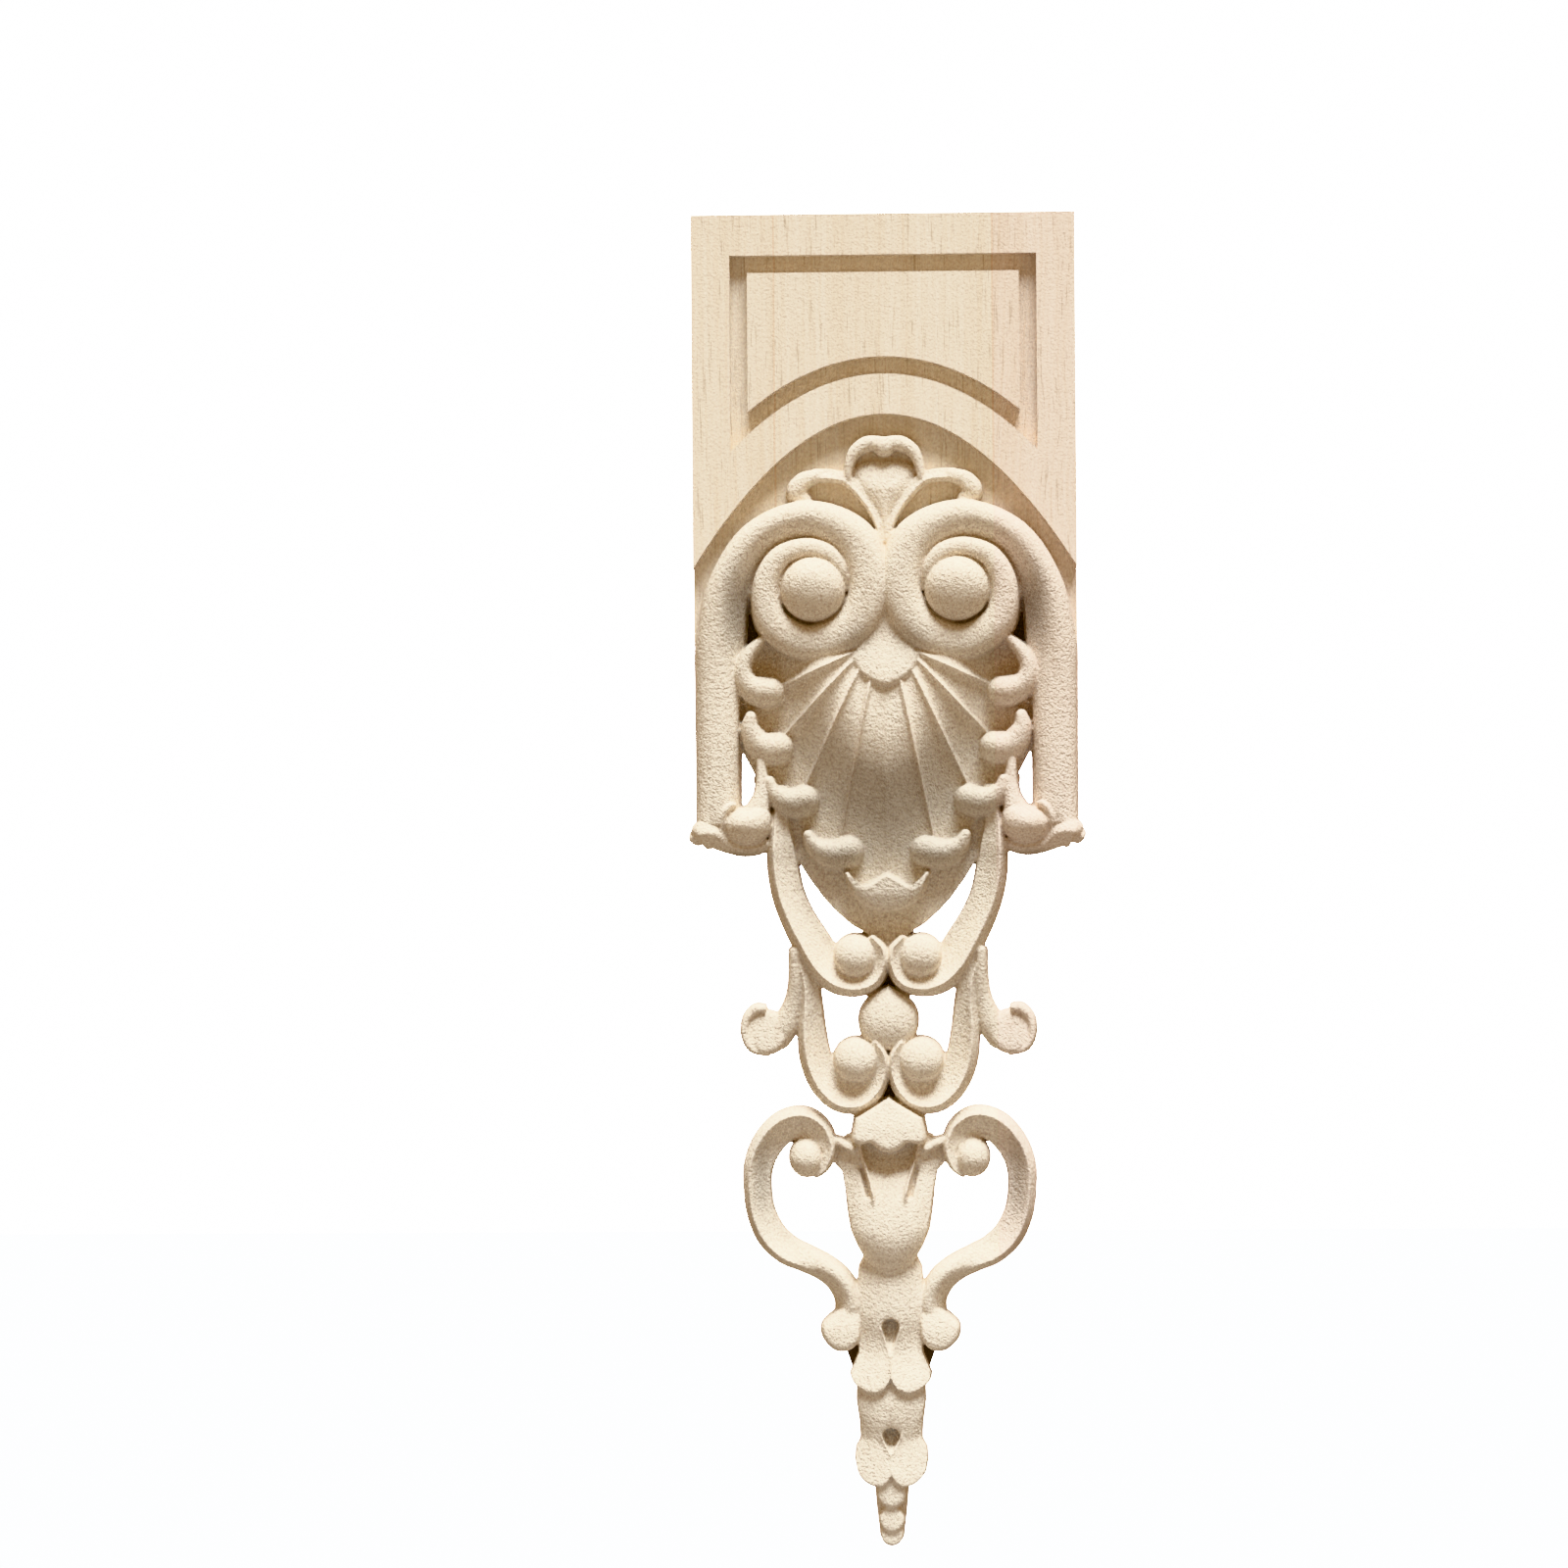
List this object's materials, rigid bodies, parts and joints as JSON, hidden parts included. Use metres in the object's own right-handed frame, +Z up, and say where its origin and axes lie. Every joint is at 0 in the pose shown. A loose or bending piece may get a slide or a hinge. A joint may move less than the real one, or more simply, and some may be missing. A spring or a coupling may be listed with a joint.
{
  "type": "carved wood applique",
  "caption": "Flat-backed carved wood drop applique: grooved board with arched field, paired volutes over a scallop shell, openwork scrolls, a calyx with handles and a tapering drop of husks.",
  "frame": {"origin": "on the flat back, on the middle line, halfway between the board's top edge and the tip of the drop", "axes": "+Z up, from the tip of the drop to the board's top edge; the flat back faces +Y and the carving faces -Y; +X is to the right of someone facing the carving"},
  "size_m": [0.12, 0.022, 0.4],
  "materials": {
    "carved_wood": "bare, finely sanded pale hardwood, unvarnished"
  },
  "bodies": {
    "root": {"applique": "carved_wood"}
  },
  "joints": []
}
